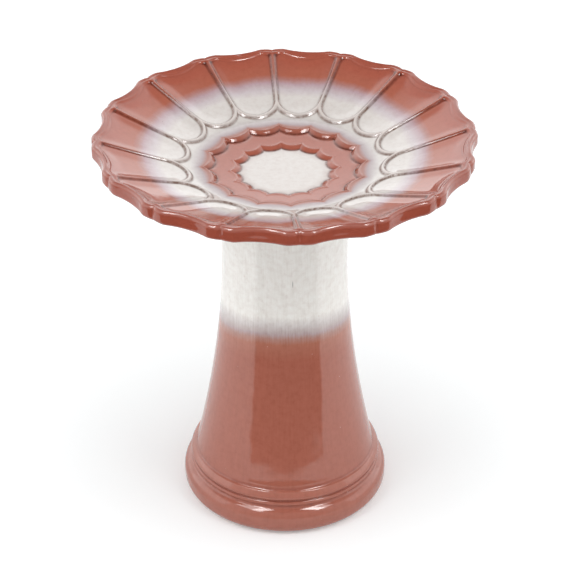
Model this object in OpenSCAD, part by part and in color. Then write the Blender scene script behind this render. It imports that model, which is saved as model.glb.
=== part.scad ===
// Two-piece glazed ceramic bird bath: a petalled bowl that rests on a hollow pedestal.
// Z is up, the origin is at the centre of the pedestal's foot, and lengths are in millimetres.

/* [Overall] */
// Width of the bowl across the crests of its rim
bowl_d = 460; // [380:5:560]
// Height of the pedestal, to its top edge
pedestal_h = 440; // [340:5:560]
// Height of the bowl, from the seat under it to its lip
bowl_h = 62; // [52:1:80]

/* [Pedestal] */
// Thickness of the ceramic wall of the pedestal
pedestal_wall = 9; // [6:0.5:12]
// Radius of the neck at its narrowest
neck_r = 78.3; // [70:0.5:84]
// How far below the top edge the neck is narrowest
neck_drop = 95; // [70:5:130]
// Radius of the pedestal at its top edge
top_r = 84; // [79:0.5:90]
// Radius at which the flared body meets the foot rings
flare_r = 114; // [95:1:137]
// How far the upper foot ring stands out from the body
collar_out = 7; // [5:0.5:9]
// How far the lower foot ring stands out from the body
foot_out = 16; // [12:1:20]
// Height of the lower foot ring
foot_ring_h = 35; // [28:1:42]
// Height of the upper foot ring
collar_h = 22; // [16:1:28]

/* [Bowl] */
// Number of petals
petals = 16; // [12:1:20]
// Thickness of the ceramic under the centre plate
floor_t = 10.5; // [8:0.5:13]
// Thickness of the ceramic under the petals
petal_t = 9; // [7:0.5:11]
// Height of the rim's outer face
rim_face_h = 19; // [16:1:24]
// Depth of the shallow wave in the rim of each petal
wave_depth = 7.5; // [5:0.5:9]
// Depth of the small notch in the rim at each rib
notch_depth = 2.5; // [1:0.5:4]
// Width of the lip between the rim and the petals
lip_w = 9.5; // [7:0.5:12]
// Width of the ribs between the petals
rib_w = 5.6; // [4:0.2:8]
// Height of the ribs above the petals
rib_h = 2.2; // [1.5:0.1:3]
// Width of the bead round the inner end of each petal
bead_w = 7; // [5:0.5:8]
// Radius of the centre plate, to the points of its scallops
plate_r = 60; // [50:1:72]
// How far the scallops of the centre plate reach inwards from their points
plate_scallop = 5; // [3:0.5:7]
// Rise from the centre plate to the middle ring
plate_step = 5; // [3:0.5:6]
// Width of the middle ring, between the points of its two rows of scallops
ring_w = 34; // [28:1:40]
// How far the scallops of the middle ring reach inwards from their points
ring_scallop = 8; // [4:0.5:9]
// Rise from the middle ring to the channel
ring_step = 6; // [3:0.5:7]
// Width of the channel between the middle ring and the petals
channel_w = 16; // [12:1:20]

/* [Seat] */
// Depth of the locating ring that hangs into the mouth of the pedestal
locating_h = 14; // [8:1:24]
// Thickness of the locating ring
locating_t = 8; // [6:0.5:12]
// Gap between the locating ring and the mouth of the pedestal
locating_gap = 4; // [2:0.5:6]
// Diameter of a bumper pad
pad_d = 8; // [6:0.5:8]
// Thickness of a bumper pad
pad_t = 2; // [1:0.5:4]

/* [Hidden] */
pads = 4;
coral = "#b05a48";
clear_rubber = "#c8cccc";
$fn = 96;

// Past the surfaces, so that a cut never ends on a face
past = 40;
// Least distance that keeps two cuts from sharing a face or an edge
skin = 0.4;
// Radius that softens the top edge of the pedestal
edge_round = 3;
// How much the dish bows: 0 is a straight cone
dish_bow = 0.15;

bowl_r = bowl_d / 2;
lip_z = pedestal_h + pad_t + bowl_h;
neck_z = pedestal_h - neck_drop;
collar_r = flare_r + collar_out;
foot_r = flare_r + foot_out;
mouth_r = top_r - pedestal_wall - edge_round;
collar_top = foot_ring_h + collar_h;
seat_z = pedestal_h + pad_t;
seat_r = top_r + 5;
locating_r = mouth_r - locating_gap;
plate_z = seat_z + floor_t;
ring_z = plate_z + plate_step;
channel_z = ring_z + ring_step;
ring_r = plate_r + ring_w;
channel_r = ring_r + channel_w;
lip_r = bowl_r - lip_w;
half_turn = 180 / petals;

// Level ground between the channel and the bead round a petal
bead_gap = 4;
petal_start_r = channel_r + bead_gap + bead_w;

// The round inner end of a petal touches the two ribs beside it
petal_c = (petal_start_r - rib_w / 2) / (1 - sin(half_turn));
petal_end_r = petal_c - petal_start_r;
// Radius at which the beads of two neighbouring petals run together
join_r = petal_c * cos(half_turn);

// The wave of a petal is a round cut between two points near its ribs
wave_share = 0.64;
wave_turn = half_turn * wave_share;
wave_sag = wave_depth - bowl_r * (1 - cos(wave_turn));
wave_r = (pow(bowl_r * sin(wave_turn), 2) + pow(wave_sag, 2)) / (2 * wave_sag);
wave_c = bowl_r * cos(wave_turn) - wave_sag + wave_r;

// Points on a circular arc, from angle a0 to angle a1
function arc(x, y, r, a0, a1, n) =
    [for (i = [0 : n]) let (a = a0 + (a1 - a0) * i / n) [x + r * cos(a), y + r * sin(a)]];

// Radius of the body at a height: it narrows to the neck, then opens to the top edge
function body_r(z) =
    z < neck_z ? neck_r + (flare_r - neck_r) * pow((neck_z - z) / (neck_z - collar_top), 2)
               : neck_r + (top_r - neck_r) * pow((z - neck_z) / (pedestal_h - neck_z), 2);

// Height of the tops of the ribs at a radius: a shallow dish from the channel to the lip
function crest_z(r) =
    let (t = (r - channel_r) / (lip_r - channel_r))
    channel_z + rib_h + (lip_z - channel_z - rib_h) * (t + dish_bow * (t * t - t));

// ---- pedestal ----

module pedestal_section() {
    steps = 28;
    body_top = pedestal_h - edge_round - 1;
    shell_z = foot_ring_h;
    shell_top = pedestal_h - 12;
    foot_bead = foot_ring_h / 2;
    collar_bead = collar_h / 2;
    outer = concat(
        [[mouth_r, pedestal_h]],
        arc(top_r - edge_round, pedestal_h - edge_round, edge_round, 90, 0, 4),
        [for (i = [1 : steps]) let (z = body_top - (body_top - collar_top) * i / steps) [body_r(z), z]],
        arc(collar_r - collar_bead, foot_ring_h + collar_bead, collar_bead, 75, -75, 10),
        arc(foot_r - foot_bead, foot_bead, foot_bead, 75, -90, 12)
    );
    inner = concat(
        [[flare_r - pedestal_wall, 0]],
        [for (i = [0 : steps]) let (z = shell_z + (shell_top - shell_z) * i / steps)
            [min(body_r(z), flare_r) - pedestal_wall, z]],
        [[mouth_r, shell_top + 6]]
    );
    polygon(concat(outer, inner));
}

module pedestal() {
    color(coral) rotate_extrude() pedestal_section();
}

// ---- bowl ----

// Half of the turned blank, with its inside at the height of the tops of the ribs
module blank_section() {
    steps = 8;
    crest_r = channel_r + 2;
    rim_round = 3.5;
    wall_r = max(channel_r + 6, seat_r + 14);
    apron_r = lip_r - 7;
    rim_low = lip_z - rim_face_h;
    polygon(concat(
        [[0, channel_z], [crest_r, channel_z]],
        [for (i = [0 : steps]) let (r = crest_r + (lip_r - crest_r) * i / steps) [r, crest_z(r)]],
        arc(bowl_r - rim_round, lip_z - rim_round, rim_round, 90, 0, 5),
        arc(bowl_r - rim_round * 1.5, rim_low + rim_round * 1.5, rim_round * 1.5, 0, -90, 5),
        [[apron_r + 4, rim_low + 1]],
        [for (i = [0 : steps]) let (r = apron_r - (apron_r - wall_r) * i / steps)
            [r, crest_z(r) - rib_h - petal_t]],
        [[seat_r + 8, seat_z + 5], [seat_r, seat_z], [locating_r, seat_z]],
        [[locating_r, seat_z - locating_h], [locating_r - locating_t, seat_z - locating_h]],
        [[locating_r - locating_t, seat_z], [0, seat_z]]
    ));
}

// What is open above the surface of the petals
module petal_space_section() {
    steps = 8;
    from_r = channel_r - 3;
    polygon(concat(
        [[from_r, lip_z + past], [from_r, channel_z + skin]],
        [for (i = [0 : steps]) let (r = channel_r + (bowl_r - channel_r) * i / steps)
            [r, max(crest_z(r) - rib_h, channel_z + skin)]],
        [[bowl_r, lip_z + past]]
    ));
}

// Repeats a shape once for each petal, the first one half a petal from +X
module each_petal() {
    for (i = [0 : petals - 1]) rotate(360 / petals * (i + 0.5)) children();
}

// Outline of one petal: a round inner end, two straight ribs and a wavy lip. The end is a touch
// wider than the space between the ribs, so that it crosses their sides instead of grazing them.
module petal_outline() {
    side_0 = join_r;
    side_1 = bowl_r + past;
    half_rib = rib_w / 2;
    difference() {
        intersection() {
            union() {
                translate([petal_c, 0]) circle(petal_end_r + skin);
                polygon([for (p = [[side_0, 1], [side_1, 1], [side_1, -1], [side_0, -1]])
                    [p[0] * cos(half_turn) + half_rib * sin(half_turn),
                     p[1] * (p[0] * sin(half_turn) - half_rib * cos(half_turn))]]);
            }
            circle(lip_r, $fn = 192);
        }
        translate([wave_c, 0]) circle(wave_r + lip_w);
    }
}

// What lies above the petals' surface, turned so that its seam falls inside a petal
module petal_space() {
    rotate(half_turn / 2) rotate_extrude($fn = 192) petal_space_section();
}

// A cut through the whole height of the bowl, from an outline
module through_cut() {
    translate([0, 0, plate_z]) linear_extrude(past * 2) children();
}

// The recessed petals
module petal_cuts() {
    intersection() {
        petal_space();
        through_cut() each_petal() petal_outline();
    }
}

// The low ground between the channel and the beads of the petals
module channel_cut() {
    intersection() {
        petal_space();
        through_cut() difference() {
            circle(join_r - petal_end_r / 2);
            each_petal() translate([petal_c, 0]) circle(petal_end_r + bead_w);
        }
    }
}

// A round pan with a scalloped edge, whose slightly blunt points lie on the ribs
module scalloped_pan(r, scallop, z) {
    arc_r = r - scallop;
    c = (r * r - arc_r * arc_r) / (2 * (r * cos(half_turn) - arc_r));
    translate([0, 0, z]) linear_extrude(past) difference() {
        circle(r - skin);
        each_petal() translate([c, 0]) circle(c - arc_r);
    }
}

module bowl() {
    color(coral) difference() {
        rotate(half_turn / 2) rotate_extrude($fn = 192) blank_section();
        petal_cuts();
        channel_cut();
        scalloped_pan(ring_r, ring_scallop, ring_z);
        scalloped_pan(plate_r, plate_scallop, plate_z);
        each_petal() translate([wave_c, 0, seat_z]) cylinder(r = wave_r, h = past * 3);
        for (i = [0 : petals - 1]) rotate(360 / petals * i)
            translate([bowl_r + notch_depth, 0, seat_z]) cylinder(r = notch_depth * 2, h = past * 3);
    }
}

// ---- bumper pads ----

module bumper_pad(index) {
    color(clear_rubber)
    rotate(360 / pads * (index - 0.5))
    translate([(mouth_r + top_r - edge_round) / 2, 0, pedestal_h])
    cylinder(d = pad_d, h = pad_t);
}

bowl();
pedestal();
bumper_pad(1);  // bumper_pad_1
bumper_pad(2);  // bumper_pad_2
bumper_pad(3);  // bumper_pad_3
bumper_pad(4);  // bumper_pad_4
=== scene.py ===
import bpy
import math
import numpy as np
from mathutils import Matrix, Vector


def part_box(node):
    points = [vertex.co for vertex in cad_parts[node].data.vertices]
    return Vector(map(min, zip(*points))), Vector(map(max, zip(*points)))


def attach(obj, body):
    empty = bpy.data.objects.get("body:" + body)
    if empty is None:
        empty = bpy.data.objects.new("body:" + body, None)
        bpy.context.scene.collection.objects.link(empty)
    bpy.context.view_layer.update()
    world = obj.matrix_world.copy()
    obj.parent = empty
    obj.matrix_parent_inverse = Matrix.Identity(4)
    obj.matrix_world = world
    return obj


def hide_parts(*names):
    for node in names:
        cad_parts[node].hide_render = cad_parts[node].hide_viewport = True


# Glazed earthenware bird bath: a turned pedestal, four rubber dots and a petalled bowl that lifts off.

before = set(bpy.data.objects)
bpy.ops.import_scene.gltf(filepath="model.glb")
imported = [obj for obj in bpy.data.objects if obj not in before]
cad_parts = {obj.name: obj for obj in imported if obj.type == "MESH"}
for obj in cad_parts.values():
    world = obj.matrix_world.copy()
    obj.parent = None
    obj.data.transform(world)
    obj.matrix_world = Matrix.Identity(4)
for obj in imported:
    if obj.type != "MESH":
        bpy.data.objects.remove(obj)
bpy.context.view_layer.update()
bpy.ops.object.select_all(action="DESELECT")
mm = 0.001


def say(text):
    print("bird bath:", text)


def linear(hexColour):
    channels = [int(hexColour[i:i + 2], 16) / 255 for i in (1, 3, 5)]
    return [c / 12.92 if c <= 0.04045 else ((c + 0.055) / 1.055) ** 2.4 for c in channels] + [1.0]


def smoothRise(value, start, end):
    t = np.clip((value - start) / (end - start), 0, 1)
    return t * t * (3 - 2 * t)


def hump(value, width):
    return np.exp(-(value / width) ** 2)


def smoothMin(a, b, reach):
    overlap = np.maximum(reach - np.abs(a - b), 0) / reach
    return np.minimum(a, b) - overlap * overlap * reach / 4


def arcPoints(centre, radius, start, end, count):
    # points along an arc in the section, degrees from +r towards +z
    angles = np.radians(np.linspace(start, end, count))
    return [(centre[0] + radius * math.cos(a), centre[1] + radius * math.sin(a)) for a in angles]


def linePoints(a, b, count):
    return [(a[0] + (b[0] - a[0]) * t, a[1] + (b[1] - a[1]) * t) for t in np.linspace(0, 1, count)]


def tidyChain(points, gap=0.05):
    # leaves out points that repeat where two stretches meet
    kept = [points[0]]
    for point in points[1:]:
        if math.dist(point, kept[-1]) > gap:
            kept.append(point)
    return kept


def turn(name, section, steps, closed):
    # the section is drawn point by point, then spun round the Z axis as on a wheel
    bpy.ops.object.select_all(action="DESELECT")
    bpy.ops.mesh.primitive_plane_add(size=0.01)
    piece = bpy.context.object
    piece.name = piece.data.name = name
    bpy.ops.object.mode_set(mode="EDIT")
    bpy.ops.mesh.select_mode(type="VERT")
    bpy.ops.mesh.select_all(action="SELECT")
    bpy.ops.mesh.merge(type="CENTER")
    here = Vector((0, 0, 0))
    line = [Vector((r * mm, 0, z * mm)) for r, z in section]
    bpy.ops.transform.translate(value=line[0] - here)
    for a, b in zip(line, line[1:] + (line[:1] if closed else [])):
        bpy.ops.mesh.extrude_region_move(TRANSFORM_OT_translate={"value": b - a})
    bpy.ops.mesh.select_all(action="SELECT")
    bpy.ops.mesh.remove_doubles(threshold=0.00001)
    bpy.ops.mesh.spin(steps=steps, angle=2 * math.pi, center=(0, 0, 0), axis=(0, 0, 1), use_auto_merge=True)
    bpy.ops.mesh.select_all(action="SELECT")
    bpy.ops.mesh.remove_doubles(threshold=0.00001)
    bpy.ops.mesh.normals_make_consistent(inside=False)
    bpy.ops.object.mode_set(mode="OBJECT")
    bpy.ops.object.shade_smooth()
    return piece


def readPoints(piece):
    points = np.empty(len(piece.data.vertices) * 3)
    piece.data.vertices.foreach_get("co", points)
    return points.reshape(-1, 3) / mm


def writePoints(piece, points):
    piece.data.vertices.foreach_set("co", (points * mm).ravel())
    piece.data.update()


def nearestRing(points, section):
    # which point of the section each vertex was spun from
    away = np.hypot(points[:, 0], points[:, 1])
    rings = np.array(section)
    found = np.empty(len(points), int)
    for start in range(0, len(points), 8192):
        part = slice(start, start + 8192)
        gap = (away[part, None] - rings[:, 0]) ** 2 + (points[part, 2, None] - rings[:, 1]) ** 2
        found[part] = gap.argmin(1)
    return found


def addLayer(piece, name, values):
    layer = piece.data.attributes.new(name, "FLOAT", "POINT")
    layer.data.foreach_set("value", np.asarray(values, np.float32))


def finishPiece(piece, body, slot, material, *nodes):
    piece.data.materials.clear()
    piece.data.materials.append(material)
    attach(piece, body)
    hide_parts(*nodes)


def addNode(tree, kind, links=None, stops=None, **settings):
    # one node, its settings, its inputs as values or as links, and a ramp's stops if it has them
    node = tree.nodes.new(kind)
    for key, value in settings.items():
        setattr(node, key, value)
    for key, value in (links or {}).items():
        if isinstance(value, bpy.types.NodeSocket):
            tree.links.new(value, node.inputs[key])
        else:
            node.inputs[key].default_value = value
    if stops:
        ramp = node.color_ramp.elements
        while len(ramp) < len(stops):
            ramp.new(0.5)
        for element, (place, colour) in zip(ramp, stops):
            element.position = place
            element.color = linear(colour)
    return node


def newMaterial(name):
    material = bpy.data.materials.new(name)
    material.use_nodes = True
    material.node_tree.nodes.clear()
    return material, material.node_tree


# ---- camera ----

cameraPlace = {
    "distance": 2.380,  # from the axis, along the floor
    "height": 1.792,
    "turn": 4.2,        # degrees round from straight in front, so that a rib stands just left of straight back
    "pitch": 32.31,
    "lens": 142,
    "shift": 0.0055,
}
say("camera")
bpy.ops.object.camera_add()
camera = bpy.context.object
camera.name = "viewCamera"
aside = math.radians(cameraPlace["turn"])
camera.location = (-math.sin(aside) * cameraPlace["distance"], -math.cos(aside) * cameraPlace["distance"], cameraPlace["height"])
camera.rotation_euler = (math.radians(90 - cameraPlace["pitch"]), 0, -aside)
camera.data.lens = cameraPlace["lens"]
camera.data.sensor_width = 36
camera.data.shift_x = cameraPlace["shift"]
bpy.context.scene.camera = camera
bpy.context.scene.view_settings.view_transform = "Standard"


# ---- pedestal ----

pedestalLow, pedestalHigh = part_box("pedestal")
pedestal = {
    "height": pedestalHigh.z / mm,
    "footR": pedestalHigh.x / mm,
    "neckR": 78.3,      # the narrowest place
    "neckDrop": 95,     # how far below the top it is
    "topR": 84,
    "flareR": 114,      # where the flare meets the collar
    "flareZ": 57,
    "wall": 9,
    "edgeRound": 3,
    "collarZ": 46,      # the groove between the collar and the thin bead
    "footRound": 16.5,
    "footMiddle": 21,
    "footLow": 14,
    "hollowR": 105,
    "footRingH": 35,
    "mouthR": 72,
    "steps": 160,
}
neckZ = pedestal["height"] - pedestal["neckDrop"]


def bodyRadius(z):
    if z > neckZ:
        return pedestal["neckR"] + (pedestal["topR"] - pedestal["neckR"]) * ((z - neckZ) / pedestal["neckDrop"]) ** 2
    return pedestal["neckR"] + (pedestal["flareR"] - pedestal["neckR"]) * ((neckZ - z) / (neckZ - pedestal["flareZ"])) ** 2


def pedestalSection():
    # outside from the mouth down to the dry foot; the second list is the inside, from the foot up
    p = pedestal
    outerEdge = bodyRadius(p["height"])
    collarOut = p["footR"] - 9
    top = [(p["mouthR"] + 1.2, p["height"])] + arcPoints((outerEdge - p["edgeRound"], p["height"] - p["edgeRound"]), p["edgeRound"], 90, 0, 6)
    body = [(bodyRadius(z), z) for z in np.linspace(p["height"] - p["edgeRound"] - 4, p["flareZ"] + 9, 60)]
    # the collar: a small hollow under the flare, a shoulder and a roll, a groove, a thin bead, then the foot's round
    hollow = [(bodyRadius(p["flareZ"] + 6) + 0.2, p["flareZ"] + 6), (p["flareR"] - 0.8, p["flareZ"] + 3.2), (p["flareR"] + 0.3, p["flareZ"] + 2.2)]
    shoulder = arcPoints((p["flareR"] + 0.8, p["flareZ"] - 1.4), 2.9, 84, 40, 5)
    roll = arcPoints((collarOut - 4.3, p["collarZ"] + 4.2), 4.0, 42, -48, 9)
    groove = [(collarOut - 2.6, p["collarZ"] + 0.4), (collarOut - 2.9, p["collarZ"] - 0.5), (collarOut - 2.2, p["collarZ"] - 1.2)]
    thinBead = arcPoints((collarOut - 3.0, p["collarZ"] - 4.0), 3.1, 66, -50, 8)
    seam = [(collarOut - 1.5, p["collarZ"] - 7.3), (collarOut - 1.3, p["collarZ"] - 8.0)]
    foot = arcPoints((p["footR"] - p["footRound"], p["footMiddle"]), p["footRound"], 63, 0, 14)
    foot += arcPoints((p["footR"] - p["footLow"], p["footLow"]), p["footLow"], 0, -84, 12)
    base = [(p["footR"] - p["footLow"] - 1.5, 0), (p["hollowR"] + 1.5, 0), (p["hollowR"] + 0.3, 0.5)]
    inside = [(p["hollowR"], 1.6), (p["hollowR"], 18), (p["hollowR"], p["footRingH"] - 2)]
    inside += [(min(p["hollowR"], bodyRadius(z) - p["wall"]), z) for z in np.linspace(p["footRingH"] + 1, p["height"] - 12, 30)]
    inside += [(p["mouthR"] + 0.6, p["height"] - 8), (p["mouthR"], p["height"] - 3), (p["mouthR"] + 0.3, p["height"] - 0.6)]
    outside = tidyChain(top + body + hollow + shoulder + roll + groove + thinBead + seam + foot + base)
    return outside, tidyChain(inside)


def buildPedestal():
    outside, inside = pedestalSection()
    section = outside + inside
    piece = turn("glazedPedestal", section, pedestal["steps"], True)
    points = readPoints(piece)
    ring = nearestRing(points, section)
    places = np.array(section)
    # hand-thrown: the wall wanders a fraction of a millimetre
    angle = np.arctan2(points[:, 1], points[:, 0])
    wander = 0.35 * np.sin(2 * angle + places[ring, 1] / 60) * smoothRise(places[ring, 1], 70, 140) * smoothRise(-places[ring, 1], -430, -380)
    away = np.hypot(points[:, 0], points[:, 1])
    points[:, :2] *= ((away + wander) / away)[:, None]
    writePoints(piece, points)
    bare = np.where(ring >= len(outside) - 3, 1.0, 0.0)
    addLayer(piece, "bare", bare)
    # glaze runs thin over the tight rounds, and a pale painted highlight is laid along them: the shoulder, the roll and
    # the foot's widest place
    thinGlazeAndSheen = hump(places[ring, 1] - pedestal["flareZ"] - 0.8, 1.0) + hump(places[ring, 1] - pedestal["collarZ"] - 6, 1.3) + hump(places[ring, 1] - (pedestal["height"] - 1), 1.5)
    addLayer(piece, "thinGlazeAndSheen", np.clip(thinGlazeAndSheen, 0, 1) * (1 - bare))
    # painted shade: a darker mark in the groove, the seam and the hollow under the flare, where glaze also pools
    pooledGlazeAndShade = hump(places[ring, 1] - (pedestal["collarZ"] - 0.4), 0.9) + hump(places[ring, 1] - (pedestal["collarZ"] - 7.6), 0.7) + hump(places[ring, 1] - (pedestal["flareZ"] + 3), 0.8)
    addLayer(piece, "pooledGlazeAndShade", np.clip(pooledGlazeAndShade, 0, 1) * (1 - bare))
    return piece


# ---- bowl ----

bowlLow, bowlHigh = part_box("bowl")
bowl = {
    "radius": 230,
    "lipZ": bowlHigh.z / mm,
    "seatZ": 442,
    "petals": 16,
    "stepsAPetal": 32,
    "crowding": 1.6,      # how much closer the columns stand beside a rib
    "plateZ": 452.5,
    "channelZ": 463.5,
    # each step of the basin: where it starts and ends, and its rise; the rest is in the floor's gentle slope
    "plateRise": (52.6, 59.6, 2.2),
    "ringRise": (83.2, 89.6, 3.3),
    "channelR": 110,
    "petalStart": 121,
    "ribW": 6.2,
    "ribH": 2.9,
    "ribFlare": 0.5,      # how much a rib's half width grows by the lip
    "beadW": 7,
    "dish": 1.5,          # how hollow a petal is
    "cornerRound": 8,
    "petalT": 9,
    "lipR": 220.5,
    "lipW": 10.5,
    "waveDepth": 7.5,
    "waveTurn": 7.2,      # degrees each side of a petal's middle that the dip spans
    "notchDepth": 1.9,
    "notchW": 2.8,
    "rimTop": 4.8,
    "rimLow": 5.25,
    "rimH": 19,
    "locatingR": (60, 68),
    "locatingH": 14,
}
halfTurn = math.pi / bowl["petals"]
# the round inner end of a petal touches the ribs' sides
petalC = (bowl["petalStart"] - bowl["ribW"] / 2) / (1 - math.sin(halfTurn))
endR = petalC - bowl["petalStart"]
joinR = petalC * math.cos(halfTurn)


def arcLine(away, near, far, spread):
    # radius of an arc that bows towards the axis: near at the middle, far at the angle spread
    centre = (far ** 2 - near ** 2) / (2 * (far * math.cos(spread) - near))
    radius = centre - near
    inner = np.maximum(radius ** 2 - (centre * np.sin(away)) ** 2, 0)
    return centre * np.cos(away) - np.sqrt(inner)


def petalBase(r):
    # the petals' surface between the ribs, before it is dished
    t = np.clip((r - bowl["channelR"]) / (bowl["lipR"] - bowl["channelR"]), 0, 1)
    return bowl["channelZ"] + (bowl["lipZ"] - bowl["ribH"] - bowl["channelZ"]) * (0.85 * t + 0.15 * t * t)


def outlineShift(away):
    # how far the rim stands in from its full radius, round one petal
    wave = arcLine(np.minimum(away, math.radians(11.2)), bowl["radius"] - bowl["waveDepth"], bowl["radius"], math.radians(bowl["waveTurn"]))
    edge = smoothMin(wave, np.full_like(wave, bowl["radius"]), 1.2) - bowl["radius"]
    fromRib = (halfTurn - away) * bowl["radius"]
    shoulders = -0.9 * (1 - hump(fromRib - 13, 9))
    return np.minimum(edge, 0) + shoulders * hump(fromRib, 16), -bowl["notchDepth"] * hump(fromRib, bowl["notchW"])


def petalFields(r, away, edge):
    # edge: the rim's radius at this angle. Returns how far in from a petal's border, and the raised share.
    x, y = r * np.cos(away), r * np.sin(away)
    along = x * math.cos(halfTurn) + y * math.sin(halfTurn)
    fromRib = x * math.sin(halfTurn) - y * math.cos(halfTurn)
    fromEnd = np.hypot(x - petalC, y)
    ribHalf = bowl["ribW"] / 2 + bowl["ribFlare"] * smoothRise(r, 178, 212)
    side = np.where(along < joinR, endR - fromEnd, fromRib - ribHalf)
    inside = smoothMin(side, edge - bowl["lipW"] - r, bowl["cornerRound"])
    raised = np.where(along < joinR, np.minimum(-inside, endR + bowl["beadW"] - fromEnd), -inside)
    share = np.clip(raised / (bowl["ribW"] / 2), 0, 1)
    return inside, raised, share * (2 - share)


def basinFloor(place, r):
    # plate, ring and channel on a gently hollow floor; each step has a soft roll above it and a small hollow at its foot
    steps = (bowl["plateRise"], bowl["ringRise"])
    slope = bowl["channelZ"] - bowl["plateZ"] - sum(rise for start, end, rise in steps)
    height = bowl["plateZ"] + slope * smoothRise(r, 46, 116)
    for start, end, rise in steps:
        height += rise * smoothRise(place, start, end)
        height += 0.7 * hump(place - end - 0.4, 1.6) - 0.5 * hump(place - start + 0.8, 1.6)
    return height


def bowlSection():
    b = bowl
    zones = [(0, 48, 5), (48, 73, 20), (73, 79, 3), (79, 103, 20), (103, 112, 4), (112, 150, 33), (150, 204, 16), (204, b["radius"] - b["rimTop"], 20)]
    radii = [0.0] + [r for start, end, count in zones for r in np.linspace(start, end, count + 1)[1:]]
    top = [(r, float(petalBase(np.array(r))) if r > 1 else b["channelZ"]) for r in radii]
    lowZ = b["lipZ"] - b["rimH"]
    rim = arcPoints((b["radius"] - b["rimTop"], b["lipZ"] - b["rimTop"]), b["rimTop"], 78, 0, 6)
    rim += linePoints((b["radius"], b["lipZ"] - b["rimTop"]), (b["radius"], lowZ + b["rimLow"]), 5)[1:]
    rim += arcPoints((b["radius"] - b["rimLow"], lowZ + b["rimLow"]), b["rimLow"], 0, -90, 6)[1:]
    under = [(221, lowZ + 0.1), (218, lowZ + 1), (215.5, lowZ + 3.2)]
    under += [(r, float(petalBase(np.array(r))) - b["petalT"]) for r in np.linspace(212, 117, 18)]
    under += [(110, 453.6), (103, 450), (97, 446.8), (92.5, 443.6), (89, 442.3), (86, b["seatZ"]), (76, b["seatZ"]), (69.2, b["seatZ"])]
    ringIn, ringOut = b["locatingR"]
    foot = b["seatZ"] - b["locatingH"]
    under += [(ringOut, b["seatZ"] - 1), (ringOut, foot + 4)] + arcPoints((ringOut - 2, foot + 2), 2, 0, -90, 4)
    under += arcPoints((ringIn + 2, foot + 2), 2, -90, -180, 4) + [(ringIn, foot + 5), (ringIn, b["seatZ"] - 1), (ringIn - 1.2, b["seatZ"])]
    under += [(45, b["seatZ"]), (30, b["seatZ"]), (15, b["seatZ"]), (0, b["seatZ"])]
    return top, rim, tidyChain(under)


def buildBowl():
    b = bowl
    top, rim, under = bowlSection()
    section = top + rim + under
    piece = turn("petalBowl", section, b["petals"] * b["stepsAPetal"], False)
    points = readPoints(piece)
    ring = nearestRing(points, section)
    places = np.array(section)
    place, z = places[ring, 0], places[ring, 1].copy()
    onTop = ring < len(top)
    onRim = (ring >= len(top)) & (ring < len(top) + len(rim))
    below = ring >= len(top) + len(rim)

    # the columns of points crowd towards the ribs
    angle = np.arctan2(points[:, 1], points[:, 0])
    turns = np.round(angle / (2 * halfTurn))
    fromRib = angle - turns * 2 * halfTurn
    fromRib = np.sign(fromRib) * halfTurn * (np.abs(fromRib) / halfTurn) ** b["crowding"]
    angle = turns * 2 * halfTurn + fromRib
    away = halfTurn - np.abs(fromRib)

    # rim outline: a dip along each petal and a nick at each rib, softer below and fading out inwards
    edge, nick = outlineShift(away)
    fade = np.where(onTop, smoothRise(place, 192, 219), 1.0)
    fade = np.where(below, smoothRise(place, 190, 222) * 0.8, fade)
    lowDown = smoothRise(b["lipZ"] - z, 6, 18)
    nickFade = np.where(onTop, smoothRise(place, 219, 227), np.where(below, 0.0, 1 - 0.75 * lowDown))
    r = place + edge * fade * np.where(onRim, 1 - 0.2 * lowDown, 1) + nick * nickFade

    # the two scalloped steps in the basin
    scallop = arcLine(away, b["ringRise"][1], b["ringRise"][1] + 8.4, halfTurn) - b["ringRise"][1]
    reach = np.interp(place, [44, 52.6, 62.2, 83, 91, 111], [0, 0.54, 0.78, 1.02, 1, 0])
    r = r + np.where(onTop, scallop * reach, 0)

    basin = basinFloor(place, r)
    inside, raised, ridge = petalFields(r, away, b["radius"] + edge)
    ridge = ridge * smoothRise(place, 104, 110)
    lipPlace = r - (b["radius"] + edge)
    hollow = b["dish"] * smoothRise(inside, 0, 15)
    fold = 1.3 * hump(lipPlace + 7.4, 2.1) * smoothRise(ridge, 0.5, 1) * smoothRise(place, 200, 212)
    petal = petalBase(np.minimum(place, r)) + b["ribH"] * ridge - hollow - fold
    # the channel's floor runs smoothly into the petals' own surface
    blend = smoothRise(place, 104, 112)
    topZ = basin * (1 - blend) + petal * blend
    z = np.where(onTop, topZ, z)
    points = np.stack([r * np.cos(angle), r * np.sin(angle), z], 1)
    writePoints(piece, points)

    # what the glaze does, with painted light: place for its colour bands, thin over edges with a painted highlight
    # along the crests, pooled at the feet of the relief with painted shade there
    addLayer(piece, "place", place / b["radius"])
    addLayer(piece, "under", below)
    addLayer(piece, "bare", below & (place < 91))
    # painted shade: dark lines at the feet of ribs, beads and steps, where glaze also pools
    petalEdges = hump(inside + 0.2, 1.35) + hump(raised - 0.5, 1.3) * (inside < -1)
    steps = hump(place - b["plateRise"][0] - 0.2, 1.5) + hump(place - b["ringRise"][0] - 0.7, 1.6)
    pooledGlazeAndShade = np.where(place > 108, petalEdges * smoothRise(place, 108, 113) * (place < 218), steps)
    addLayer(piece, "pooledGlazeAndShade", np.clip(pooledGlazeAndShade, 0, 1) * onTop)
    # painted highlight: a pale line along rib crests, step edges and the lip's crest, where the glaze is also thin
    crest = smoothRise(ridge, 0.75, 1) * (place > 108) * (place < 216)
    stepCrest = hump(place - b["plateRise"][1] - 0.6, 1.3) + hump(place - b["ringRise"][1] - 0.6, 1.3)
    lipCrest = hump(z - b["lipZ"] + 1.2, 1.2) * hump(place - b["radius"] + 1, 1.8)
    addLayer(piece, "thinGlazeAndSheen", np.clip(np.where(onTop, np.maximum(crest, stepCrest), 0) + lipCrest * (onTop | onRim), 0, 1))
    return piece


# ---- rubber dots ----

dot = {
    "bevel": 0.7,
    "segments": 5,
}


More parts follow.
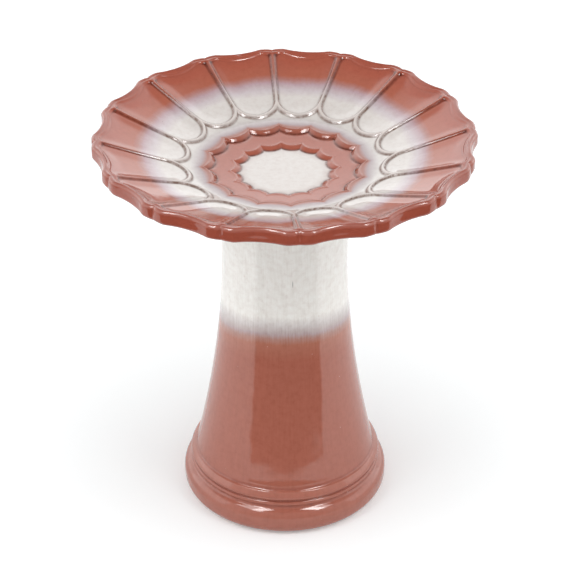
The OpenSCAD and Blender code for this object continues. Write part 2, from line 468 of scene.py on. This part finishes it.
def buildDot(index):
    # a clear self-stick bumper, squashed a little by the bowl's weight
    low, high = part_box(f"bumper_pad_{index}")
    centre = (low + high) / 2
    bpy.ops.object.select_all(action="DESELECT")
    bpy.ops.mesh.primitive_cylinder_add(vertices=40, radius=(high.x - low.x) / 2, depth=high.z - low.z, end_fill_type="NGON")
    piece = bpy.context.object
    piece.name = piece.data.name = f"rubberDot{index}"
    bpy.ops.object.mode_set(mode="EDIT")
    bpy.ops.mesh.select_mode(type="FACE")
    bpy.ops.mesh.select_all(action="SELECT")
    bpy.ops.mesh.region_to_loop()
    bpy.ops.object.mode_set(mode="OBJECT")
    for polygon in piece.data.polygons:
        polygon.select = abs(polygon.normal.z) > 0.9
    bpy.ops.object.mode_set(mode="EDIT")
    bpy.ops.mesh.inset(thickness=0.0002)
    bpy.ops.mesh.bevel(offset=dot["bevel"] * mm, segments=dot["segments"], affect="EDGES")
    bpy.ops.mesh.select_all(action="SELECT")
    bpy.ops.transform.translate(value=centre)
    bpy.ops.mesh.normals_make_consistent(inside=False)
    bpy.ops.object.mode_set(mode="OBJECT")
    bpy.ops.object.shade_smooth()
    return piece


# ---- materials ----

glaze = {
    "coral": "#A86352",
    "coralDeep": "#9C4934",
    "coralPale": "#B66850",
    "white": "#F3F1ED",
    "whiteWarm": "#DFDAD6",
    "haze": "#A9979A",    # where the two glazes run together
    "hazePale": "#C6BEBE",
    "pooledGlazeAndShadeTint": "#86695C",   # dark tint at the feet of the relief: painted shade, with glaze pooled there
    # pale colour where the glaze runs thin, partly a painted highlight
    "thinGlazeAndSheen": "#C48C7C",
    "biscuit": "#C8A584",
    "roughness": 0.07,
    "ior": 1.54,
}


def runCoordinates(tree, across, down):
    # Object coordinates wrapped round the axis, so that a pattern runs down the wall or out along a petal:
    # across and down are the sizes of one mark in millimetres
    place = addNode(tree, "ShaderNodeTexCoord").outputs["Object"]
    parts = addNode(tree, "ShaderNodeSeparateXYZ", {"Vector": place})
    flat = addNode(tree, "ShaderNodeCombineXYZ", {"X": parts.outputs["X"], "Y": parts.outputs["Y"]})
    length = addNode(tree, "ShaderNodeVectorMath", {0: flat.outputs[0]}, operation="LENGTH").outputs["Value"]
    heading = addNode(tree, "ShaderNodeVectorMath", {0: flat.outputs[0]}, operation="NORMALIZE").outputs[0]
    wide = addNode(tree, "ShaderNodeVectorMath", {0: heading, "Scale": 100 / across}, operation="SCALE").outputs[0]
    run = addNode(tree, "ShaderNodeMath", {0: parts.outputs["Z"], 1: length}, operation="ADD").outputs[0]
    run = addNode(tree, "ShaderNodeMath", {0: run, 1: 1000 / down}, operation="MULTIPLY").outputs[0]
    up = addNode(tree, "ShaderNodeCombineXYZ", {"Z": run})
    return place, parts, addNode(tree, "ShaderNodeVectorMath", {0: wide, 1: up.outputs[0]}, operation="ADD").outputs[0]


def mixColour(tree, share, a, b, blend="MIX"):
    node = addNode(tree, "ShaderNodeMix", data_type="RGBA", blend_type=blend)
    for socket, value in ((node.inputs[0], share), (node.inputs[6], a), (node.inputs[7], b)):
        if isinstance(value, bpy.types.NodeSocket):
            tree.links.new(value, socket)
        else:
            socket.default_value = value
    return node.outputs[2]


def glazeSurface(tree, colour, place, bare):
    # a thick, wet-looking glaze: nearly smooth, with slow swells and a faint orange peel in its surface
    swell = addNode(tree, "ShaderNodeTexNoise", {"Vector": place, "Scale": 1 / (28 * mm), "Detail": 1.0}).outputs[0]
    peel = addNode(tree, "ShaderNodeTexNoise", {"Vector": place, "Scale": 1 / (3.2 * mm), "Detail": 2.0}).outputs[0]
    bump = addNode(tree, "ShaderNodeBump", {"Strength": 0.35, "Distance": 0.0006, "Height": swell})
    bump = addNode(tree, "ShaderNodeBump", {"Strength": 0.06, "Distance": 0.0002, "Height": peel, "Normal": bump.outputs[0]})
    rough = addNode(tree, "ShaderNodeMapRange", {"Value": peel, "To Min": glaze["roughness"] - 0.02, "To Max": glaze["roughness"] + 0.03}).outputs[0]
    rough = addNode(tree, "ShaderNodeMix", {0: bare, 2: rough, 3: 0.85}, data_type="FLOAT").outputs[0]
    grain = addNode(tree, "ShaderNodeTexNoise", {"Vector": place, "Scale": 1 / (0.9 * mm), "Detail": 3.0}).outputs[0]
    clay = addNode(tree, "ShaderNodeValToRGB", {"Fac": grain}, stops=[(0.3, "#B48F6E"), (0.7, glaze["biscuit"])]).outputs[0]
    colour = mixColour(tree, bare, colour, clay)
    shader = addNode(tree, "ShaderNodeBsdfPrincipled", {"Base Color": colour, "Roughness": rough, "IOR": glaze["ior"], "Normal": bump.outputs[0]})
    addNode(tree, "ShaderNodeOutputMaterial", {"Surface": shader.outputs[0]})


def specks(tree, place, colour, size, amount, tint):
    # tiny pinholes and iron specks
    cells = addNode(tree, "ShaderNodeTexVoronoi", {"Vector": place, "Scale": 1 / (size * mm), "Randomness": 1.0})
    near = addNode(tree, "ShaderNodeMapRange", {"Value": cells.outputs["Distance"], "From Min": 0.03, "From Max": 0.08, "To Min": 1.0, "To Max": 0.0}).outputs[0]
    some = addNode(tree, "ShaderNodeSeparateColor", {"Color": cells.outputs["Color"]}).outputs[0]
    some = addNode(tree, "ShaderNodeMath", {0: some, 1: amount}, operation="LESS_THAN").outputs[0]
    share = addNode(tree, "ShaderNodeMath", {0: near, 1: some}, operation="MULTIPLY").outputs[0]
    return mixColour(tree, share, colour, linear(tint))


def pedestalGlaze():
    # Earthenware dipped in white, then coral from the foot: glossy, with a hazy streaked line where they meet
    material, tree = newMaterial("glazed earthenware, coral foot and white neck")
    place, parts, streak = runCoordinates(tree, 2.2, 26)
    x, y, z = (parts.outputs[i] for i in range(3))
    fine = addNode(tree, "ShaderNodeTexNoise", {"Vector": streak, "Scale": 1.0, "Detail": 3.0, "Roughness": 0.6}).outputs[0]
    slow = addNode(tree, "ShaderNodeTexNoise", {"Vector": place, "Scale": 1 / (60 * mm), "Detail": 1.0}).outputs[0]
    # the line stands 12 mm higher at the front and back than at the sides
    squares = [addNode(tree, "ShaderNodeMath", {0: s, 1: s}, operation="MULTIPLY").outputs[0] for s in (x, y)]
    difference = addNode(tree, "ShaderNodeMath", {0: squares[1], 1: squares[0]}, operation="SUBTRACT").outputs[0]
    total = addNode(tree, "ShaderNodeMath", {0: squares[0], 1: squares[1]}, operation="ADD").outputs[0]
    lobe = addNode(tree, "ShaderNodeMath", {0: difference, 1: total}, operation="DIVIDE").outputs[0]
    height = addNode(tree, "ShaderNodeMath", {0: lobe, 1: -6 * mm, 2: z}, operation="MULTIPLY_ADD").outputs[0]
    height = addNode(tree, "ShaderNodeMath", {0: fine, 1: 9 * mm, 2: height}, operation="MULTIPLY_ADD").outputs[0]
    height = addNode(tree, "ShaderNodeMath", {0: slow, 1: 10 * mm, 2: height}, operation="MULTIPLY_ADD").outputs[0]
    band = addNode(tree, "ShaderNodeMapRange", {"Value": height, "From Min": 224 * mm, "From Max": 324 * mm}).outputs[0]
    colour = addNode(tree, "ShaderNodeValToRGB", {"Fac": band}, stops=[
        (0.0, glaze["coral"]), (0.12, glaze["coral"]), (0.36, "#B0715F"), (0.44, "#B3897F"), (0.5, "#B9A6A6"), (0.6, "#D2CBCA"), (0.74, glaze["white"]), (1.0, glaze["white"])]).outputs[0]
    mottle = addNode(tree, "ShaderNodeTexNoise", {"Vector": place, "Scale": 1 / (7 * mm), "Detail": 4.0, "Roughness": 0.6}).outputs[0]
    cloud = addNode(tree, "ShaderNodeValToRGB", {"Fac": mottle}, stops=[(0.3, "#E9E2DF"), (0.5, "#F7F4F2"), (0.72, "#FFFFFF")]).outputs[0]
    colour = mixColour(tree, 0.6, colour, cloud, "MULTIPLY")
    wash = addNode(tree, "ShaderNodeValToRGB", {"Fac": fine}, stops=[(0.3, "#F0EFEC"), (0.6, "#FFFFFF")]).outputs[0]
    colour = mixColour(tree, 0.45, colour, wash, "MULTIPLY")
    # paler where the glaze runs thin, with a painted highlight along the shoulder, the roll and the top edge
    thinGlazeAndSheen = addNode(tree, "ShaderNodeAttribute", attribute_name="thinGlazeAndSheen").outputs["Fac"]
    pooledGlazeAndShade = addNode(tree, "ShaderNodeAttribute", attribute_name="pooledGlazeAndShade").outputs["Fac"]
    thinGlazeAndSheenShare = addNode(tree, "ShaderNodeMath", {0: thinGlazeAndSheen, 1: 0.08}, operation="MULTIPLY").outputs[0]
    colour = mixColour(tree, thinGlazeAndSheenShare, colour, linear(glaze["thinGlazeAndSheen"]))
    # painted shade: darker coral in the groove, the seam and the hollow, where glaze also pools
    pooledGlazeAndShadeShare = addNode(tree, "ShaderNodeMath", {0: pooledGlazeAndShade, 1: 0.45}, operation="MULTIPLY").outputs[0]
    colour = mixColour(tree, pooledGlazeAndShadeShare, colour, linear("#7A3527"))
    colour = specks(tree, place, colour, 9, 0.16, "#C9A79A")
    # a hairline pit in the neck's glaze, on the front
    aside = addNode(tree, "ShaderNodeMath", {0: x, 1: 3.8 * mm}, operation="SUBTRACT").outputs[0]
    aside = addNode(tree, "ShaderNodeMath", {0: aside, 1: 0.55 * mm}, operation="DIVIDE").outputs[0]
    above = addNode(tree, "ShaderNodeMath", {0: z, 1: 341 * mm}, operation="SUBTRACT").outputs[0]
    above = addNode(tree, "ShaderNodeMath", {0: above, 1: 5.5 * mm}, operation="DIVIDE").outputs[0]
    spot = addNode(tree, "ShaderNodeCombineXYZ", {"X": aside, "Y": above})
    spot = addNode(tree, "ShaderNodeVectorMath", {0: spot.outputs[0]}, operation="LENGTH").outputs["Value"]
    pit = addNode(tree, "ShaderNodeMapRange", {"Value": spot, "From Min": 0.4, "From Max": 1.1, "To Min": 0.75, "To Max": 0.0}).outputs[0]
    front = addNode(tree, "ShaderNodeMath", {0: y, 1: 0.0}, operation="LESS_THAN").outputs[0]
    pit = addNode(tree, "ShaderNodeMath", {0: pit, 1: front}, operation="MULTIPLY").outputs[0]
    colour = mixColour(tree, pit, colour, linear("#55524C"))
    bare = addNode(tree, "ShaderNodeAttribute", attribute_name="bare").outputs["Fac"]
    glazeSurface(tree, colour, place, bare)
    return material


def bowlGlaze():
    # The same two glazes in bands: coral outside, white on the petals' inner halves, coral steps, white plate
    material, tree = newMaterial("glazed earthenware, coral and white bands")
    place, parts, streak = runCoordinates(tree, 2.6, 22)
    fine = addNode(tree, "ShaderNodeTexNoise", {"Vector": streak, "Scale": 1.0, "Detail": 3.0, "Roughness": 0.6}).outputs[0]
    slow = addNode(tree, "ShaderNodeTexNoise", {"Vector": place, "Scale": 1 / (45 * mm), "Detail": 1.0}).outputs[0]
    out = addNode(tree, "ShaderNodeAttribute", attribute_name="place").outputs["Fac"]
    # the band edges wander on the petals, and the white lies a little to the back, but stay on the steps of the basin
    loose = addNode(tree, "ShaderNodeMapRange", {"Value": out, "From Min": 0.42, "From Max": 0.6}).outputs[0]
    lean = addNode(tree, "ShaderNodeMath", {0: parts.outputs["Y"], 1: -0.13, 2: -0.017}, operation="MULTIPLY_ADD").outputs[0]
    offset = addNode(tree, "ShaderNodeMath", {0: fine, 1: 0.018, 2: lean}, operation="MULTIPLY_ADD").outputs[0]
    offset = addNode(tree, "ShaderNodeMath", {0: slow, 1: 0.04, 2: offset}, operation="MULTIPLY_ADD").outputs[0]
    band = addNode(tree, "ShaderNodeMath", {0: offset, 1: loose, 2: out}, operation="MULTIPLY_ADD").outputs[0]
    colour = addNode(tree, "ShaderNodeValToRGB", {"Fac": band}, stops=[
        (0.0, glaze["whiteWarm"]), (0.19, glaze["whiteWarm"]), (0.223, "#CFC4C0"), (0.235, "#AC5F4C"),
        (0.33, "#AC5F4C"), (0.41, "#A2604F"), (0.435, glaze["haze"]), (0.47, glaze["hazePale"]), (0.5, "#DAD6D2"), (0.53, glaze["whiteWarm"]),
        (0.655, glaze["whiteWarm"]), (0.7, "#CFC4C8"), (0.74, "#BDA3A9"), (0.77, "#B07A72"), (0.795, "#B0624C"), (0.9, "#AC5A46"), (0.96, "#A65542"), (0.985, "#9C4D3C"), (1.0, "#9A4C3B")]).outputs[0]
    # underneath: coral behind the rim, running out to white over the seat
    below = addNode(tree, "ShaderNodeValToRGB", {"Fac": band}, stops=[
        (0.0, glaze["white"]), (0.5, glaze["white"]), (0.6, glaze["hazePale"]), (0.65, glaze["haze"]), (0.71, glaze["coral"]), (1.0, glaze["coral"])]).outputs[0]
    under = addNode(tree, "ShaderNodeAttribute", attribute_name="under").outputs["Fac"]
    colour = mixColour(tree, under, colour, below)
    mottle = addNode(tree, "ShaderNodeTexNoise", {"Vector": place, "Scale": 1 / (6 * mm), "Detail": 4.0, "Roughness": 0.6}).outputs[0]
    cloud = addNode(tree, "ShaderNodeValToRGB", {"Fac": mottle}, stops=[(0.3, "#E9E2DF"), (0.5, "#F7F4F2"), (0.72, "#FFFFFF")]).outputs[0]
    colour = mixColour(tree, 0.5, colour, cloud, "MULTIPLY")
    patchy = addNode(tree, "ShaderNodeMapRange", {"Value": mottle, "From Min": 0.35, "From Max": 0.6, "To Min": 0.55, "To Max": 1.0}).outputs[0]
    # a pale painted highlight along rib crests, step edges and the lip, where the glaze is also thin
    thinGlazeAndSheen = addNode(tree, "ShaderNodeAttribute", attribute_name="thinGlazeAndSheen").outputs["Fac"]
    thinGlazeAndSheenShare = addNode(tree, "ShaderNodeMath", {0: thinGlazeAndSheen, 1: 0.16}, operation="MULTIPLY").outputs[0]
    colour = mixColour(tree, thinGlazeAndSheenShare, colour, linear("#CDAFA6"))
    # painted shade: a dark tint multiplied in at the feet of the ribs, beads and steps, where glaze also pools
    pooledGlazeAndShade = addNode(tree, "ShaderNodeAttribute", attribute_name="pooledGlazeAndShade").outputs["Fac"]
    pooledGlazeAndShadeShare = addNode(tree, "ShaderNodeMath", {0: pooledGlazeAndShade, 1: patchy}, operation="MULTIPLY").outputs[0]
    colour = mixColour(tree, pooledGlazeAndShadeShare, colour, linear(glaze["pooledGlazeAndShadeTint"]), "MULTIPLY")
    colour = specks(tree, place, colour, 8, 0.15, "#8C7A70")
    bare = addNode(tree, "ShaderNodeAttribute", attribute_name="bare").outputs["Fac"]
    glazeSurface(tree, colour, place, bare)
    return material


def clearRubber():
    # Cast clear polyurethane: cloudy and soft-edged, it lets most light through
    material, tree = newMaterial("clear cast rubber")
    place = addNode(tree, "ShaderNodeTexCoord").outputs["Object"]
    cloud = addNode(tree, "ShaderNodeTexNoise", {"Vector": place, "Scale": 1 / (1.5 * mm), "Detail": 2.0}).outputs[0]
    colour = addNode(tree, "ShaderNodeValToRGB", {"Fac": cloud}, stops=[(0.3, "#D5D8D6"), (0.7, "#E9EBEA")]).outputs[0]
    bump = addNode(tree, "ShaderNodeBump", {"Strength": 0.2, "Distance": 0.0001, "Height": cloud})
    shader = addNode(tree, "ShaderNodeBsdfPrincipled", {"Base Color": colour, "Roughness": 0.3, "IOR": 1.48, "Transmission Weight": 0.7, "Normal": bump.outputs[0]})
    addNode(tree, "ShaderNodeOutputMaterial", {"Surface": shader.outputs[0]})
    return material


# ---- build ----

say("pedestal")
pedestalPiece = buildPedestal()
finishPiece(pedestalPiece, "pedestal", "pedestal_glaze", pedestalGlaze(), "pedestal")
say("bowl")
bowlPiece = buildBowl()
finishPiece(bowlPiece, "bowl", "bowl_glaze", bowlGlaze(), "bowl")
say("rubber dots")
rubber = clearRubber()
for number in range(1, 5):
    finishPiece(buildDot(number), "pedestal", "pad_rubber", rubber, f"bumper_pad_{number}")


# ---- studio ----

studio = {
    "floor": 6.0,
    "lampReach": 1.9,
    "lampTurn": 52,        # degrees each side of the camera
    "lampRise": 52,
    "lampSize": (0.6, 0.9),
    "lampGlow": 4.9,       # radiance, where 1 is white
    "coreTurn": 40,        # a bright strip beside each softbox, which only gloss shows
    "coreAside": 5,        # the pair stands this much to the right
    "coreSize": (0.34, 1.1),
    "coreGlow": 12.0,
    "fillRise": 24,
    "fillSize": (1.5, 1.0),
    "fillGlow": 1.3,       # only matt shading gets this one
    "sideReach": 1.7,
    "sideSize": (1.8, 1.1),
    "sideGlow": 0.95,
    "tableEdge": -0.358,         # beyond this line in front gloss shows the dark of the room,
    "tableBulge": (0.31, 0.135), # apart from this oval, which bulges out past it
}


def panelLamp(name, place, aim, size, glow):
    bpy.ops.object.light_add(type="AREA", location=place)
    lamp = bpy.context.object
    lamp.name = name
    lamp.rotation_euler = (Vector(aim) - Vector(place)).to_track_quat("-Z", "Y").to_euler()
    lamp.data.shape = "RECTANGLE"
    lamp.data.size, lamp.data.size_y = size
    lamp.data.energy = glow * math.pi * size[0] * size[1]
    return lamp


middle = (0, 0, 0.35)


def roundPlace(turn, rise, reach):
    # a place that many degrees round from the camera's side and up from the object's middle
    bearing, rise = math.radians(turn) - aside, math.radians(rise)
    return (math.sin(bearing) * math.cos(rise) * reach, -math.cos(bearing) * math.cos(rise) * reach, middle[2] + math.sin(rise) * reach)


def buildStudio():
    for side, label in ((-1, "Left"), (1, "Right")):
        for kind in ("lamp", "core"):
            turned = studio[kind + "Turn"] * side + (studio["coreAside"] if kind == "core" else 0)
            place = roundPlace(turned, studio["lampRise"], studio["lampReach"])
            panel = panelLamp(kind + label, place, middle, studio[kind + "Size"], studio[kind + "Glow"])
            panel.visible_diffuse = kind == "lamp"
        panelLamp("sideWall" + label, (side * studio["sideReach"], 0.2, 0.75), (0, 0.2, 0.45), studio["sideSize"], studio["sideGlow"])
    fill = panelLamp("frontFill", roundPlace(0, studio["fillRise"], 2.2), middle, studio["fillSize"], studio["fillGlow"])
    fill.visible_glossy = False

    bpy.ops.mesh.primitive_plane_add(size=studio["floor"])
    floor = bpy.context.object
    floor.name = "studioFloor"
    material, tree = newMaterial("matt white paper")
    grain = addNode(tree, "ShaderNodeTexNoise", {"Vector": addNode(tree, "ShaderNodeTexCoord").outputs["Object"], "Scale": 400.0})
    paper = addNode(tree, "ShaderNodeValToRGB", {"Fac": grain.outputs[0]}, stops=[(0.3, "#EDF1F2"), (0.7, "#F0F4F5")])
    diffuse = addNode(tree, "ShaderNodeBsdfDiffuse", {"Color": paper.outputs[0]})
    path = addNode(tree, "ShaderNodeLightPath")
    seen = addNode(tree, "ShaderNodeMath", {0: path.outputs["Is Camera Ray"], 1: path.outputs["Is Glossy Ray"]}, operation="MAXIMUM")
    seen = addNode(tree, "ShaderNodeMath", {0: seen.outputs[0], 1: path.outputs["Is Transmission Ray"]}, operation="MAXIMUM")
    # brighter away from the object, so that its faint shadow stays and the far floor is plain white
    spread = addNode(tree, "ShaderNodeVectorMath", {0: addNode(tree, "ShaderNodeTexCoord").outputs["Object"]}, operation="LENGTH").outputs["Value"]
    spread = addNode(tree, "ShaderNodeMapRange", {"Value": spread, "From Min": 0.12, "From Max": 0.6, "To Min": 0.17, "To Max": 0.45}, interpolation_type="SMOOTHSTEP").outputs[0]
    lift = addNode(tree, "ShaderNodeMath", {0: seen.outputs[0], 1: spread}, operation="MULTIPLY")
    glow = addNode(tree, "ShaderNodeEmission", {"Strength": lift.outputs[0]})
    both = addNode(tree, "ShaderNodeAddShader", {0: diffuse.outputs[0], 1: glow.outputs[0]})
    addNode(tree, "ShaderNodeOutputMaterial", {"Surface": both.outputs[0]})
    floor.data.materials.append(material)

    # the dark end of the table: only gloss sees it
    halfWide, halfDeep = studio["tableBulge"]
    bpy.ops.mesh.primitive_circle_add(vertices=96, radius=1)
    card = bpy.context.object
    card.name = "darkCard"
    bpy.ops.object.mode_set(mode="EDIT")
    bpy.ops.mesh.select_all(action="SELECT")
    bpy.ops.transform.resize(value=(halfWide, halfDeep, 1), center_override=(0, 0, 0))
    bpy.ops.mesh.extrude_edges_move()
    bpy.ops.transform.resize(value=(12, 12, 1), center_override=(0, 0, 0))
    bpy.ops.mesh.select_all(action="SELECT")
    bpy.ops.mesh.bisect(plane_co=(0, 0, 0), plane_no=(0, 1, 0), clear_outer=True)
    bpy.ops.mesh.select_all(action="SELECT")
    bpy.ops.transform.translate(value=(0, studio["tableEdge"], 0.002))
    bpy.ops.object.mode_set(mode="OBJECT")
    material, tree = newMaterial("black card")
    shade = addNode(tree, "ShaderNodeBsdfDiffuse", {"Color": linear("#3A3735")})
    addNode(tree, "ShaderNodeOutputMaterial", {"Surface": shade.outputs[0]})
    card.data.materials.append(material)
    card.visible_camera = card.visible_diffuse = card.visible_transmission = card.visible_shadow = False

    # the room: white walls, brighter behind, dark overhead and behind the camera
    world = bpy.data.worlds.new("studioRoom")
    bpy.context.scene.world = world
    world.use_nodes = True
    tree = world.node_tree
    tree.nodes.clear()
    heading = addNode(tree, "ShaderNodeTexCoord").outputs["Generated"]
    parts = addNode(tree, "ShaderNodeSeparateXYZ", {"Vector": heading})
    back = addNode(tree, "ShaderNodeMapRange", {"Value": parts.outputs["Y"], "From Min": 0.0, "From Max": 0.8, "To Min": 1.0, "To Max": 2.1}, interpolation_type="SMOOTHSTEP")
    overhead = addNode(tree, "ShaderNodeMapRange", {"Value": parts.outputs["Z"], "From Min": 0.62, "From Max": 0.86, "To Min": 1.0, "To Max": 0.22}, interpolation_type="SMOOTHSTEP")
    behind = addNode(tree, "ShaderNodeMapRange", {"Value": parts.outputs["Y"], "From Min": -0.85, "From Max": -0.55, "To Min": 0.55, "To Max": 1.0}, interpolation_type="SMOOTHSTEP")
    path = addNode(tree, "ShaderNodeLightPath")
    backdrop = addNode(tree, "ShaderNodeMix", {0: path.outputs["Is Glossy Ray"], 2: 0.9, 3: back.outputs[0]}, data_type="FLOAT")
    level = addNode(tree, "ShaderNodeMath", {0: backdrop.outputs[0], 1: overhead.outputs[0]}, operation="MULTIPLY")
    level = addNode(tree, "ShaderNodeMath", {0: level.outputs[0], 1: behind.outputs[0]}, operation="MULTIPLY")
    strength = addNode(tree, "ShaderNodeMix", {0: path.outputs["Is Camera Ray"], 2: level.outputs[0], 3: 1.0}, data_type="FLOAT")
    shine = addNode(tree, "ShaderNodeBackground", {"Color": (1, 1, 1, 1), "Strength": strength.outputs[0]})
    addNode(tree, "ShaderNodeOutputWorld", {"Surface": shine.outputs[0]})


say("studio")
buildStudio()

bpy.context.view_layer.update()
say("done")
